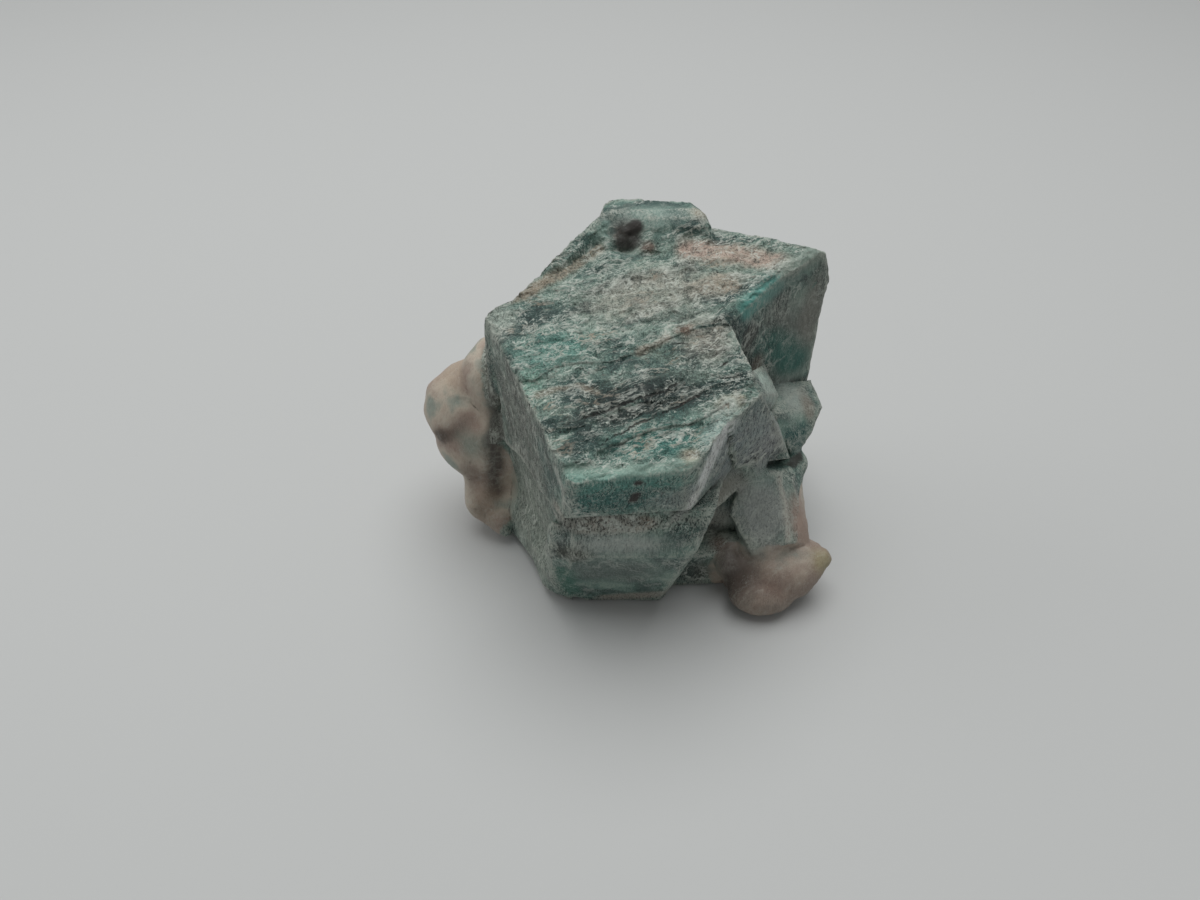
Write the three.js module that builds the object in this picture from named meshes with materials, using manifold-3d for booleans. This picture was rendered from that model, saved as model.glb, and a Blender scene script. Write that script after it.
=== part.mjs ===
// Rough amazonite: a hand specimen of intergrown blue-green microcline crystals on a broken lump of pinkish
// brown feldspar. It grew as one stone, so it is one solid. Units are millimetres, +Z is up, the front is -Y,
// and the origin is the middle of its footprint, on the surface that it rests on.
import * as THREE from "three";
import { mergeVertices } from "three/addons/utils/BufferGeometryUtils.js";
import { ConvexGeometry } from "three/addons/geometries/ConvexGeometry.js";
import { ImprovedNoise } from "three/addons/math/ImprovedNoise.js";
import Module from "manifold-3d";

const wasm = await Module();
wasm.setup();

// ---- dimensions ----

// A crystal is a middle and its flat faces. Each face is [azimuth, rise, distance from the middle]: azimuth 0
// looks right, 90 back and 270 to the front, and rise is how far it leans up.
const topLean = 20;

// Faces that run on across several crystals, because they all broke along the same cleavage. Their distances
// are from the foot of the stone's upright axis.
const sharedFaces = {
  top: [270, 90 - topLean, 29.8],
  left: [206.6, -2, 11.3],
  right: [325, -6, 9.9],
  backLeft: [134, 0, 9.5],
  back: [75.5, 0, 13.7],
  backEdge: [75.5, 16, 21.6],
  capTop: [90, 80, 38.5],
  footBrow: [270, 22, 17.8],
  footFront: [270, -17.7, 9.1],
  footLeft: [207, 2, 12.1],
};

const crystals = {
  // The big block that carries the broad, streaked top face.
  frontBlock: {
    at: [1, -8, 22],
    shared: ["top", "left", "right", "backLeft"],
    faces: {
      front: [277, -16, 5.7],
      notchWall: [19, 2, 10.8],
      underRight: [323, -45, 7.7],
      back: [90, 0, 9],
      bottom: [270, -73, 5.6],
    },
  },
  rearBlock: {
    at: [7, 4, 25],
    shared: ["top", "left", "backLeft", "back", "backEdge"],
    faces: {
      front: [270, 0, 10],
      right: [313, 0, 4.7],
      bottom: [270, -88, 11],
    },
  },
  rightBlock: {
    at: [16, 8, 25],
    shared: ["top", "back", "backEdge"],
    faces: {
      left: [180, 0, 5],
      right: [303, 0, 2],
      end: [10, 0, 4.9],
      bottom: [270, -88, 10],
    },
  },
  // A thin raised rim along the back left edge of the top face, and the cap that ends it.
  rim: {
    at: [-3.5, 8, 33],
    shared: ["left", "backLeft", "capTop"],
    faces: {
      front: [305, 25, 0.7],
      top: [253, 66, 2.9],
      right: [30, 0, 4],
      bottom: [270, -88, 4],
    },
  },
  cap: {
    at: [3, 11, 33],
    shared: ["backLeft", "capTop"],
    faces: {
      front: [275, 42, 3.6],
      left: [185, 0, 5.4],
      right: [20, 19.5, 5.1],
      back: [85, 5, 3],
      bottom: [270, -88, 3],
    },
  },
  // The step in the notch between the front block and the blocks behind it.
  notchStep: {
    at: [12, -2, 20],
    shared: ["right"],
    faces: {
      top: [10, 76, 3.4],
      side: [20, 31, 2.9],
      left: [180, 0, 4],
      back: [90, 0, 6],
      bottom: [270, -90, 5],
    },
  },
  // The crystal under the front, and its arch over a hollow on the right.
  foot: {
    at: [-0.5, -4, 8],
    shared: ["footBrow", "footFront", "footLeft"],
    faces: {
      corner: [220, -45, 10.5],
      right: [345, -15.3, 7.6],
      top: [270, 85, 10],
      back: [90, 0, 9],
      bottom: [270, -90, 8],
    },
  },
  arch: {
    at: [2, -6, 15],
    shared: ["footBrow", "footFront", "footLeft"],
    faces: {
      right: [318, 25, 6.1],
      end: [5, 0, 10.5],
      top: [270, 88, 3.2],
      under: [300, -80, 1.8],
      back: [90, 0, 6],
    },
  },
  // A block deep in the hollow, and two more at the back.
  hollowFloor: {
    at: [7.8, -4, 2],
    faces: {
      front: [272, -6, 3.6],
      left: [190, 0, 4],
      right: [350, 0, 4],
      top: [270, 80, 5],
      back: [90, 0, 5],
      bottom: [270, -90, 2],
    },
  },
  backLeftBlock: {
    at: [-8, 11.5, 11],
    faces: {
      top: [112, 60, 6],
      back: [103, -8, 4.6],
      left: [186, 0, 4.4],
      right: [20, 0, 5],
      front: [280, 0, 6],
      under: [118, -52, 6.4],
    },
  },
  backRightBlock: {
    at: [13, 12.3, 8.5],
    faces: {
      top: [62, 54, 5.4],
      back: [64, -12, 4.2],
      left: [150, 0, 4.4],
      right: [338, -4, 5.2],
      front: [250, 0, 8],
      under: [55, -60, 6.6],
    },
  },
};

// Small crystals by their corners.
const shards = {
  rightTip: [
    [14.8, 0, 19.6],
    [16.6, 6, 18.7],
    [20.7, 8, 17.5],
    [21.7, 5, 16.1],
    [20.2, 2, 15.1],
    [18.4, 0, 12.9],
    [16.5, -0.5, 16.2],
    [21, 9, 11],
    [14, 8, 10],
    [18, 3, 10],
  ],
  shoulder: [
    [11.7, -5.6, 17.8],
    [14.1, -4, 16.4],
    [17.4, -1.5, 14.5],
    [15.9, -0.5, 17.9],
    [10, -1, 14],
    [16, 3, 12],
    [12, 2, 18],
  ],
  lowerRight: [
    [12.3, -4.5, 16],
    [15.6, -4.5, 15.4],
    [17, -6.5, 11.3],
    [17.2, -8.5, 8.8],
    [13.2, -9, 7.2],
    [11, -6, 11.5],
    [17.4, -4, 13.7],
    [18.9, -5.5, 9.1],
    [19.8, -7, 6.7],
    [19.5, -6, 3],
    [19, 0, 12],
    [20, 0, 5],
    [13, -7, 3],
    [12, 0, 3],
    [11, 0, 14],
  ],
};

// Rounded lumps of the brown feldspar: middle, half sizes, and how bumpy they are.
const lumps = {
  leftShoulder: { at: [-17.7, 6, 16], radii: [4.9, 4.4, 4.6], seed: 3, detail: 4 },
  leftTop: { at: [-14.8, 4.8, 20.8], radii: [2.4, 3.2, 4], seed: 4, detail: 3 },
  leftInner: { at: [-15, 3.6, 13], radii: [3.2, 3.6, 6], seed: 6, detail: 3 },
  leftMiddle: { at: [-18, 4, 11], radii: [3, 3.2, 4.2], seed: 5, detail: 4 },
  leftLow: { at: [-16.2, 2.6, 5.6], radii: [2.7, 3, 4.6], seed: 7, detail: 4 },
  leftToe: { at: [-14.6, 1.1, 3.8], radii: [2.2, 2.4, 3.4], seed: 8, detail: 3 },
  rightToe: { at: [14.6, -8.1, 2.8], radii: [4.1, 3, 3.4], seed: 11, detail: 4 },
  rightHeel: { at: [17.8, -7.6, 3.6], radii: [3.4, 3.1, 3.6], seed: 13, detail: 4 },
  rightBud: { at: [20.9, -7.8, 5.6], radii: [1.3, 1.3, 1.3], seed: 17, detail: 2, bumps: 0.3 },
  hollowSide: { at: [11.6, -6.6, 4.8], radii: [2.5, 2.5, 3], seed: 19, detail: 3 },
  tipBase: { at: [18.6, 0.3, 11.6], radii: [1.7, 1.7, 1.7], seed: 21, detail: 2, bumps: 0.4 },
  backLump: { at: [3, 13.5, 8], radii: [5, 4, 6], seed: 27, detail: 4 },
  backLow: { at: [-3, 14, 3.5], radii: [4, 3.5, 4.5], seed: 29, detail: 4 },
  backHigh: { at: [8, 13.5, 15], radii: [3.5, 2.6, 3.5], seed: 33, detail: 3 },
};

// The broken brown mass that holds it all together.
const matrix = {
  at: [2, 4, 10],
  faces: {
    front: [265, 0, 8],
    left: [200, 5, 14],
    right: [345, 8, 15],
    back: [90, 12, 9.5],
    backLeft: [140, 6, 11.5],
    backRight: [50, 14, 12.5],
    top: [270, 85, 9],
    bottom: [270, -90, 10],
  },
  bumps: 1.2,
  size: 6,
  seed: 23,
  detail: 9,
};

// Cleavage steps on the top face. Each lowers all that lies in front of its edge, which is given as
// [x, y] points from left to right.
const topHeight = 31.7;
const steps = [
  {
    drop: 0.3,
    edge: [
      [-9.1, -6.5], [-7, -5.1], [-4.2, -4.7], [-1.8, -4.6],
      [0.7, -3.6], [3.4, -2.3], [6.5, -0.9], [8.4, -0.6],
    ],
  },
  {
    drop: 0.6,
    edge: [
      [-7.8, -11.1], [-4.6, -10.9], [-1.8, -9.5], [0.9, -8.3],
      [4.9, -7.8], [8, -6.7], [10.8, -6.2],
    ],
  },
  {
    drop: 1,
    edge: [
      [-3.9, -14.4], [-3, -12.9], [-1.2, -12.3], [1.9, -10.9],
      [4.8, -10.5], [6.5, -9.9], [8.7, -8.5],
    ],
  },
];

// A weathered-out hole at the foot of the cap.
const pit = { at: [-0.6, 8.2, 35], radii: [1.4, 1.2, 1.6], seed: 31, detail: 2, bumps: 0.3, size: 1.5 };

const edgeWear = 0.3;
const bumpHeight = 1.1;
const bumpSize = 3.6;

// The finer ripples on the bumps, beside the bumps themselves.
const rippleCloseness = 2.1;
const rippleHeight = 0.5;

// ---- shapes ----

// A closed three.js geometry as a solid that can be joined and cut.
function solidOf(geometry) {
  const bare = geometry.index ? geometry.toNonIndexed() : geometry.clone();
  bare.deleteAttribute("normal");
  bare.deleteAttribute("uv");
  const weld = 1e-4;
  const merged = mergeVertices(bare, weld);
  return new wasm.Manifold(
    new wasm.Mesh({
      numProp: 3,
      vertProperties: merged.attributes.position.array,
      triVerts: new Uint32Array(merged.index.array),
    }),
  );
}

// The outward direction of each face and its distance from the origin, for faces measured from a middle.
function planesOf(faces, middle = new THREE.Vector3()) {
  return Object.values(faces).map(([azimuth, rise, out]) => {
    const a = THREE.MathUtils.degToRad(azimuth);
    const r = THREE.MathUtils.degToRad(rise);
    const normal = new THREE.Vector3(Math.cos(a) * Math.cos(r), Math.sin(a) * Math.cos(r), Math.sin(r));
    return { normal, out: out + normal.dot(middle) };
  });
}

// The narrow worn faces that take the sharpness off the edge between each two faces.
function wornEdges(planes) {
  const leastMiter = 0.3;
  const edges = [];
  planes.forEach((a, i) => {
    for (const b of planes.slice(i + 1)) {
      const sum = a.normal.clone().add(b.normal);
      const miter = sum.length();
      if (miter > leastMiter) {
        edges.push({ normal: sum.divideScalar(miter), out: (a.out + b.out) / miter - edgeWear });
      }
    }
  });
  return edges;
}

function crystal({ at, shared = [], faces }) {
  const reach = 160;
  const ownPlanes = planesOf(faces, new THREE.Vector3(...at));
  const sharedPlanes = planesOf(shared.map((name) => sharedFaces[name]));
  const planes = [...sharedPlanes, ...ownPlanes];
  let solid = solidOf(new THREE.BoxGeometry(reach, reach, reach));
  for (const { normal, out } of [...planes, ...wornEdges(planes)]) {
    solid = solid.trimByPlane(normal.clone().negate().toArray(), -out);
  }
  return solid;
}

function shard(corners) {
  return solidOf(new ConvexGeometry(corners.map((corner) => new THREE.Vector3(...corner))));
}

// A closed surface round a middle, made uneven like broken or weathered rock. smooth gives the distance from
// the middle to the even surface along a direction.
const noise = new ImprovedNoise();
function roughened({ at, smooth, bumps = bumpHeight, size = bumpSize, seed, detail }) {
  const ball = new THREE.IcosahedronGeometry(1, detail);
  const places = ball.getAttribute("position");
  const way = new THREE.Vector3();
  const coarse = 1 / size;
  const fine = rippleCloseness / size;
  for (let i = 0; i < places.count; i++) {
    way.fromBufferAttribute(places, i).normalize();
    const reach = smooth(way);
    const p = way.clone().multiplyScalar(reach);
    const swell = noise.noise(p.x * coarse + seed, p.y * coarse - seed, p.z * coarse);
    const ripple = noise.noise(p.x * fine - seed, p.y * fine, p.z * fine + seed);
    p.addScaledVector(way, bumps * (swell + rippleHeight * ripple));
    places.setXYZ(i, p.x, p.y, p.z);
  }
  ball.translate(...at);
  return solidOf(ball);
}

function lump({ radii, ...rest }) {
  const [rx, ry, rz] = radii;
  const smooth = (way) => 1 / Math.hypot(way.x / rx, way.y / ry, way.z / rz);
  return roughened({ smooth, ...rest });
}

function chunk({ faces, ...rest }) {
  const planes = planesOf(faces);
  const smooth = (way) => {
    const faced = planes.filter(({ normal }) => normal.dot(way) > 0);
    return Math.min(...faced.map(({ normal, out }) => out / normal.dot(way)));
  };
  return roughened({ smooth, ...rest });
}

// What a cleavage step takes away: all above the lowered top face, from its edge to the front.
function stepCut({ edge, drop }) {
  const past = 30;
  const lean = THREE.MathUtils.degToRad(topLean);
  const outline = edge.map(([x, y]) => new THREE.Vector2(x, y / Math.cos(lean)));
  const first = outline[0];
  const last = outline[outline.length - 1];
  const shape = new THREE.Shape([
    new THREE.Vector2(-past, first.y),
    ...outline,
    new THREE.Vector2(past, last.y),
    new THREE.Vector2(past, -past),
    new THREE.Vector2(-past, -past),
  ]);
  const cut = new THREE.ExtrudeGeometry(shape, { depth: past, bevelEnabled: false });
  cut.translate(0, 0, -drop);
  cut.rotateX(lean);
  cut.translate(0, 0, topHeight);
  return solidOf(cut);
}

// ---- the stone ----

function grow() {
  const blocks = Object.fromEntries(Object.entries(crystals).map(([name, c]) => [name, crystal(c)]));
  for (const step of steps) {
    const cut = stepCut(step);
    blocks.frontBlock = blocks.frontBlock.subtract(cut);
    blocks.rearBlock = blocks.rearBlock.subtract(cut);
  }
  const parts = [
    ...Object.values(blocks),
    ...Object.values(shards).map(shard),
    ...Object.values(lumps).map(lump),
    chunk(matrix),
  ];
  const whole = parts.reduce((joined, next) => joined.add(next)).subtract(lump(pit));
  return whole.trimByPlane([0, 0, 1], 0);
}

function geometryOf(solid) {
  const mesh = solid.getMesh();
  const places = new Float32Array(mesh.numVert * 3);
  for (let i = 0; i < mesh.numVert; i++) {
    places.set(mesh.vertProperties.subarray(i * mesh.numProp, i * mesh.numProp + 3), i * 3);
  }
  const geometry = new THREE.BufferGeometry();
  geometry.setAttribute("position", new THREE.BufferAttribute(places, 3));
  geometry.setIndex(new THREE.BufferAttribute(mesh.triVerts, 1));
  geometry.computeVertexNormals();
  return geometry;
}

const stoneGeometry = geometryOf(grow());
stoneGeometry.computeBoundingBox();
const middle = stoneGeometry.boundingBox.getCenter(new THREE.Vector3());
stoneGeometry.translate(-middle.x, -middle.y, 0);

const amazonite = new THREE.Mesh(
  stoneGeometry,
  new THREE.MeshStandardMaterial({ color: 0x5f8f86, roughness: 0.6, metalness: 0, flatShading: true }),
);
amazonite.name = "amazonite";

const specimen = new THREE.Group();
specimen.add(amazonite);

export default specimen;
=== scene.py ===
import math

import bmesh
import bpy
import numpy as np
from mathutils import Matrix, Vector


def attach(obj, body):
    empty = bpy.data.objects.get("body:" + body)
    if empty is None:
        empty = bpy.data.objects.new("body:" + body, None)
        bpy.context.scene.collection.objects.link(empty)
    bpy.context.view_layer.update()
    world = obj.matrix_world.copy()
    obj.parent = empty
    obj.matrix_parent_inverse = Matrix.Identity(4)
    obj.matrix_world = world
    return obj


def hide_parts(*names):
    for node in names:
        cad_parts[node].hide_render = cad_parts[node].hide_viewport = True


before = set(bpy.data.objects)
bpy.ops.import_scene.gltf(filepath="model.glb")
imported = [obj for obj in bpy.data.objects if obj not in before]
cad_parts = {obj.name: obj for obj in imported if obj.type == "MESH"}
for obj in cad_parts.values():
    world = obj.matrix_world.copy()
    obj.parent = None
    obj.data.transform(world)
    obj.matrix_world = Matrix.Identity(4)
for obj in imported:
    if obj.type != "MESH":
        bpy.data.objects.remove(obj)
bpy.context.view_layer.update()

# Rough amazonite. The stone's own form comes from the frame. This script gives it an even, fine mesh, works
# the grain, ledges, chips and pits into it, and makes its feldspar material, the floor, light and camera.
# Places are in millimetres in the stone's frame, and mm turns them into scene units.

mm = 0.001
noiseMiddle = 0.5  # what a noise texture swings about


# An sRGB hex colour as linear light.
def linear(hexColour):
    channels = [int(hexColour[i:i + 2], 16) / 255 for i in (0, 2, 4)]
    return [c / 12.92 if c <= 0.04045 else ((c + 0.055) / 1.055) ** 2.4 for c in channels] + [1.0]


# Adds a node, fills its inputs with values or links, and sets its options. Returns the chosen output.
def addNode(tree, kind, inputs=None, take=0, **options):
    node = tree.nodes.new(kind)
    for name, value in options.items():
        setattr(node, name, value)
    for key, value in (inputs or {}).items():
        if isinstance(value, bpy.types.NodeSocket):
            tree.links.new(value, node.inputs[key])
        else:
            node.inputs[key].default_value = value
    return node.outputs[take] if len(node.outputs) else node


# The outward direction of a face that looks towards an azimuth and leans up by a rise, in degrees.
def facing(azimuth, rise):
    a, r = math.radians(azimuth), math.radians(rise)
    return np.array([math.cos(a) * math.cos(r), math.sin(a) * math.cos(r), math.sin(r)])


# Repeats per mm of a pattern with a size in mm along the grain, across it and up.
def perMm(*size):
    return [1 / d for d in size]


def smoothStep(low, high, values):
    t = np.clip((values - low) / (high - low), 0, 1)
    return t * t * (3 - 2 * t)


mesh = {
    "weld": 0.001,  # mm, joins the frame's loose triangles
    "cell": 0.35,  # mm, spacing of the even mesh
    "halvings": 8,  # of the box that the even mesh is made in
    "swellRounds": 3,  # how often a swell's faces are divided
}

# Where the stone's main faces look: azimuth and rise in degrees.
topFacing = (270, 70)
leftFacing = (206.6, -2)
frontFacing = (277, -16)
rightFacing = (325, -6)
rearFacing = (313, 0)

# The broad top face, which gets a mesh twice as fine. A lean is the least cosine to the way that it faces.
topFace = {
    "distance": 30.25,  # mm from the frame's origin
    "depth": 2.2,  # mm that its ledges go down
    "rise": 1,  # mm that they stand up
    "meshLean": 0.6,
    "stepLean": 0.5,
    "markLean": 0.72,
    "stepRise": 0.3,  # mm
    "margin": 14,  # rounds of averaging that keep its border as it is
    "border": (0.9, 1),  # how far inside the border its steps are eased
    "easing": 26,  # rounds of averaging over its steps
    "blur": 4,  # rounds of averaging over its mark
}

# Small forms that finish the stone. A facet is the corners of a convex piece, and a swell is a middle and the
# half sizes of a rounded one, in mm.
facets = {
    "capCorner": [(-2.2, 11.3, 36.8), (-1.6, 12.3, 36.7), (1.5, 12.7, 36.6), (2.5, 10.6, 37),
                  (-1.6, 9.2, 37.1), (-2.9, 8.8, 36.7), (-2.6, 10.6, 33), (1.5, 12, 33), (-1, 9, 33),
                  (2, 10, 33)],
    "leftCorner": [(-13.8, -1.5, 31.6), (-13.5, -0.8, 31.9), (-12.5, 0, 32.1), (-11.3, 0.4, 32.4),
                   (-11.4, -3.2, 30.9), (-14.1, -1.1, 26.5), (-14.2, 0.3, 20), (-12, 1.5, 20), (-12, -1, 22)],
    "rightShelf": [(11.2, -6.8, 29.4), (12.2, -8.6, 28.2), (14.2, 1.2, 24.1), (16.1, 0.6, 20.4),
                   (15.2, -1.2, 20), (12, -1, 20), (13, 1, 19), (10, -7, 27)],
    "rightWing": [(12.2, -8.6, 28.2), (10.6, -8.9, 28.2), (8.9, -11.3, 27), (14.6, -2.3, 20.9),
                  (16.1, -2, 18.3), (17.2, -3.2, 15.7), (14.2, -4.7, 17.9), (12, -6.6, 18),
                  (10.9, -7.4, 17.2), (12.5, 0, 17), (15, 1, 16), (12, -1, 22), (10, -8, 24)],
    "cornerFill": [(9.5, -7, 29.2), (10.9, -8, 28.6), (10.6, -8.8, 28.3), (12.2, -8.6, 28.2),
                   (11.2, -6.8, 29.3), (9.2, -9.4, 28), (11.6, -8, 25.5), (9.5, -8, 26), (8.9, -10.6, 27.4)],
    "rearCorner": [(18.6, 5.9, 33.7), (19.1, 6.2, 34), (20.1, 6.6, 33.9), (20.7, 6.9, 32.1), (21, 7.4, 29.6),
                   (20.6, 7.1, 28.2), (19.3, 6.2, 30.4), (20, 7.5, 33.7), (20.7, 7.7, 31.8),
                   (20.9, 7.8, 29.6), (18.5, 7.5, 33.8), (18.5, 7.4, 30)],
    "footCorner": [(-7.4, -13.6, 16.2), (-7.8, -14.2, 13.2), (-7.7, -13.4, 8.8), (-7.3, -11.8, 3.1),
                   (-5.3, -14.1, 15.6), (-5.3, -14.7, 13.9), (-5.3, -14.4, 11.6), (-5.2, -13.1, 7.3),
                   (-5.2, -11.8, 3.4), (-5.7, -11.1, 0.4), (-10.6, -6.4, 3.5), (-9.9, -8, 2.5),
                   (-9.5, -9.2, 1.8), (-8.9, -10, 1.2), (-7.4, -10.9, 1.2), (-9.6, -6.5, 0.15),
                   (-8.8, -8.6, 0.15), (-7, -9.6, 0.15), (-7, -9, 12), (-9.6, -7.5, 8)],
    "tipBlock": [(17.2, -3.4, 13.2), (19.2, -2.8, 12.9), (19.8, -1.5, 12.6), (19.6, -2.8, 10.8),
                 (19.2, -3.2, 10.2), (17, -4.5, 11.5), (17, 0, 11), (19.8, 0, 11), (18.2, -3.6, 13.1)],
    "slabWing": [(12.2, -6.6, 15.6), (11.2, -7.2, 12.9), (11, -8, 11.1), (12.4, -9.1, 8.8), (13.3, -9.7, 7.6),
                 (14.6, -8.1, 11.6), (14, -6.6, 15), (13, -5, 15), (12.5, -5, 8)],
}
swells = {
    "pitFloor": ((-0.5, 7.9, 34.6), (1.5, 1.3, 1.3)),
    "slabFoot": ((15.2, -8, 6.6), (3.2, 2.4, 2.5)),
    "leftSaddle": ((-16.2, 4.2, 18.9), (3.2, 2.8, 3)),
    "leftHollow": ((-17.6, 2.4, 13), (3.0, 2.6, 3.4)),
    "lowFront": ((14.9, -11.5, 2.5), (3.7, 2.5, 2.3)),
    "lowMiddle": ((17, -10, 4), (3.6, 2.8, 2.7)),
}

# Where forms run softly into each other: rounds of averaging, and how far they grow out again in mm.
softZones = {
    "leftShoulder": dict(at=(-18.6, 4.5, 17.5), size=(8, 9, 10), rounds=36, grow=0.35),
    "leftFoot": dict(at=(-17.5, 1.5, 7.5), size=(7, 8, 11), rounds=30, grow=0.3),
    "rightFoot": dict(at=(17.4, -9.8, 3.2), size=(8, 6, 4.4), rounds=18, grow=0.2),
    "pit": dict(at=(-0.2, 7.4, 35.1), size=3.3, rounds=70, grow=0),
    "frontBrow": dict(path=[(-6.2, -15.3, 25.8), (-1, -15.9, 25.3), (4, -15.4, 25.3), (6, -14.6, 25.6)],
                      size=1.6, rounds=16, grow=0),
    "footCorner": dict(at=(-8.6, -10.6, 2.6), size=(4.5, 4.5, 5), rounds=10, grow=0),
    "rearCorner": dict(at=(20.2, 7, 33), size=2.6, rounds=12, grow=0),
    "underTip": dict(at=(19.4, -1.8, 12.2), size=2.6, rounds=24, grow=0),
    "underSlab": dict(at=(12.6, -6.6, 14.6), size=3, rounds=8, grow=0),
}
softFade = (0.7, 1)  # share of a zone's reach over which it ends
softStart = (0.2, 1.2)  # mm above the ground over which it begins

# The left face below the front block's lower edge, which is set back. The edge runs along the face and up.
setBack = {
    "out": 11.66,  # mm from the frame's origin to the face
    "edge": [(-9, 13.6), (-6.2, 14.7), (0.3, 17.4), (3.5, 17.1), (6.6, 16.2), (10, 15.4)],
    "under": (0, 0.35),  # mm below the edge
    "depth": 0.6,  # mm
    "slope": 0.03,  # more depth per mm below the edge
    "share": 0.9,  # of what stands further out than that, which is taken off
    "proud": (0.8, 2.2),  # mm in front of the face, where forms stay as they are
    "fade": (-7.4, -5.4),  # along the face, where the lumps begin
    "corner": (6, 7.6),  # along the face, where the foot stands out again
    "low": (5, 9),  # mm up
}


# Welds the frame's stone, joins the small forms to it and gives it an even mesh that keeps crisp edges.
def evenStone(node):
    form = bmesh.new()
    form.from_mesh(node.data)
    bmesh.ops.remove_doubles(form, verts=form.verts, dist=mesh["weld"] * mm)
    bmesh.ops.recalc_face_normals(form, faces=form.faces)
    stone = newPiece("amazoniteStone", form)
    smallForms = [facetPiece(corners) for corners in facets.values()]
    smallForms += [swellPiece(*sizes) for sizes in swells.values()]
    for small in smallForms:
        join = stone.modifiers.new("join", "BOOLEAN")
        join.operation = "UNION"
        join.object = small
        takeShape(stone)
        bpy.data.objects.remove(small)
    longest = max(stone.dimensions) / mm
    remesh = stone.modifiers.new("even", "REMESH")
    remesh.mode = "SHARP"
    remesh.octree_depth = mesh["halvings"]
    remesh.scale = longest / (mesh["cell"] * 2 ** mesh["halvings"])
    remesh.use_remove_disconnected = False
    takeShape(stone)
    return stone


def newPiece(name, form):
    data = bpy.data.meshes.new(name)
    form.to_mesh(data)
    form.free()
    piece = bpy.data.objects.new(name, data)
    bpy.context.scene.collection.objects.link(piece)
    return piece


def facetPiece(corners):
    form = bmesh.new()
    for corner in corners:
        form.verts.new(Vector(corner) * mm)
    bmesh.ops.convex_hull(form, input=form.verts)
    return newPiece("facet", form)


def swellPiece(middle, halfSizes):
    form = bmesh.new()
    bmesh.ops.create_icosphere(form, subdivisions=mesh["swellRounds"], radius=mm)
    bmesh.ops.scale(form, verts=form.verts, vec=halfSizes)
    bmesh.ops.translate(form, verts=form.verts, vec=Vector(middle) * mm)
    return newPiece("swell", form)


# Turns the modified object into a plain mesh.
def takeShape(piece):
    bpy.context.view_layer.update()
    shaped = piece.evaluated_get(bpy.context.evaluated_depsgraph_get())
    data = bpy.data.meshes.new_from_object(shaped)
    old = piece.data
    piece.modifiers.clear()
    piece.data = data
    bpy.data.meshes.remove(old)


def refineTop(stone):
    form = bmesh.new()
    form.from_mesh(stone.data)
    direction = Vector(facing(*topFacing))
    edges = set()
    for face in form.faces:
        depth = face.calc_center_median().dot(direction) / mm - topFace["distance"]
        if face.normal.dot(direction) > topFace["meshLean"] and -topFace["depth"] < depth < topFace["rise"]:
            edges.update(face.edges)
    bmesh.ops.subdivide_edges(form, edges=list(edges), cuts=1, use_grid_fill=True)
    bmesh.ops.triangulate(form, faces=[f for f in form.faces if len(f.verts) > 4])
    form.to_mesh(stone.data)
    form.free()


# Slackens the straight cleavage steps on the top face, which the relief then breaks up.
def easeSteps(stone):
    data = stone.data
    where, out, edges = places(data), normals(data), neighbours(data)
    top = facing(*topFacing)
    depth = where @ top - topFace["distance"]
    level = (depth > -topFace["depth"]) & (depth < topFace["stepRise"]) & (out @ top > topFace["stepLean"])
    inner = smoothStep(*topFace["border"], spread(level * 1.0, edges, topFace["margin"]))
    eased = spread(depth, edges, topFace["easing"])
    movePlaces(data, where + ((eased - depth) * inner)[:, None] * top)


# Averages the surface where it should be soft.
def soften(stone):
    data = stone.data
    edges = neighbours(data)
    for zone in softZones.values():
        where, out = places(data), normals(data)
        share = (1 - smoothStep(*softFade, patchDistance(where, zone))) * smoothStep(*softStart, where[:, 2])
        shift = spread(where, edges, zone["rounds"]) - where + zone["grow"] * out
        movePlaces(data, where + shift * share[:, None])


# Presses the lower part of the left face back behind the front block.
def stepBack(stone):
    data = stone.data
    where = places(data)
    face = facing(*leftFacing)
    sideways = facing(leftFacing[0] + 90, 0)
    flat = np.stack([where @ sideways, where[:, 2]], -1)
    away, side, _ = pathDistance(flat, setBack["edge"])
    depth = where @ face - setBack["out"]
    over = (depth + setBack["depth"] + setBack["slope"] * away).clip(0)
    press = smoothStep(*setBack["under"], away) * (side < 0)
    press *= smoothStep(*setBack["fade"], flat[:, 0]) * (1 - smoothStep(*setBack["proud"], depth))
    press *= (1 - smoothStep(*setBack["corner"], flat[:, 0])) * smoothStep(*setBack["low"], where[:, 2])
    where -= (setBack["share"] * over * press)[:, None] * face
    where[:, 2] = where[:, 2].clip(0)
    movePlaces(data, where)


def readValues(items, key, width, kind=float):
    values = np.empty(len(items) * width, kind)
    items.foreach_get(key, values)
    return values.reshape(-1, width)


def places(data):
    return readValues(data.vertices, "co", 3) / mm


def normals(data):
    return readValues(data.vertex_normals, "vector", 3)


def neighbours(data):
    return readValues(data.edges, "vertices", 2, int)


def movePlaces(data, where):
    data.vertices.foreach_set("co", (where * mm).ravel())
    data.update()


# Averages values over neighbouring vertices, again and again.
def spread(values, edges, times):
    a, b = edges.T
    count = np.bincount(np.concatenate([a, b]), minlength=len(values)).clip(1)
    columns = values.reshape(len(values), -1).T.copy()
    for _ in range(times):
        for i, column in enumerate(columns):
            total = np.bincount(a, column[b], len(column)) + np.bincount(b, column[a], len(column))
            columns[i] = (column + total / count) / 2
    return columns.T.reshape(values.shape)


def storeValues(data, name, values):
    width = 1 if values.ndim == 1 else values.shape[1]
    kinds = {1: ("FLOAT", "value"), 3: ("FLOAT_VECTOR", "vector"), 4: ("FLOAT_COLOR", "color")}
    kind, slotName = kinds[width]
    attribute = data.attributes.new(name, kind, "POINT")
    attribute.data.foreach_set(slotName, np.ascontiguousarray(values, np.float32).ravel())


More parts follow.
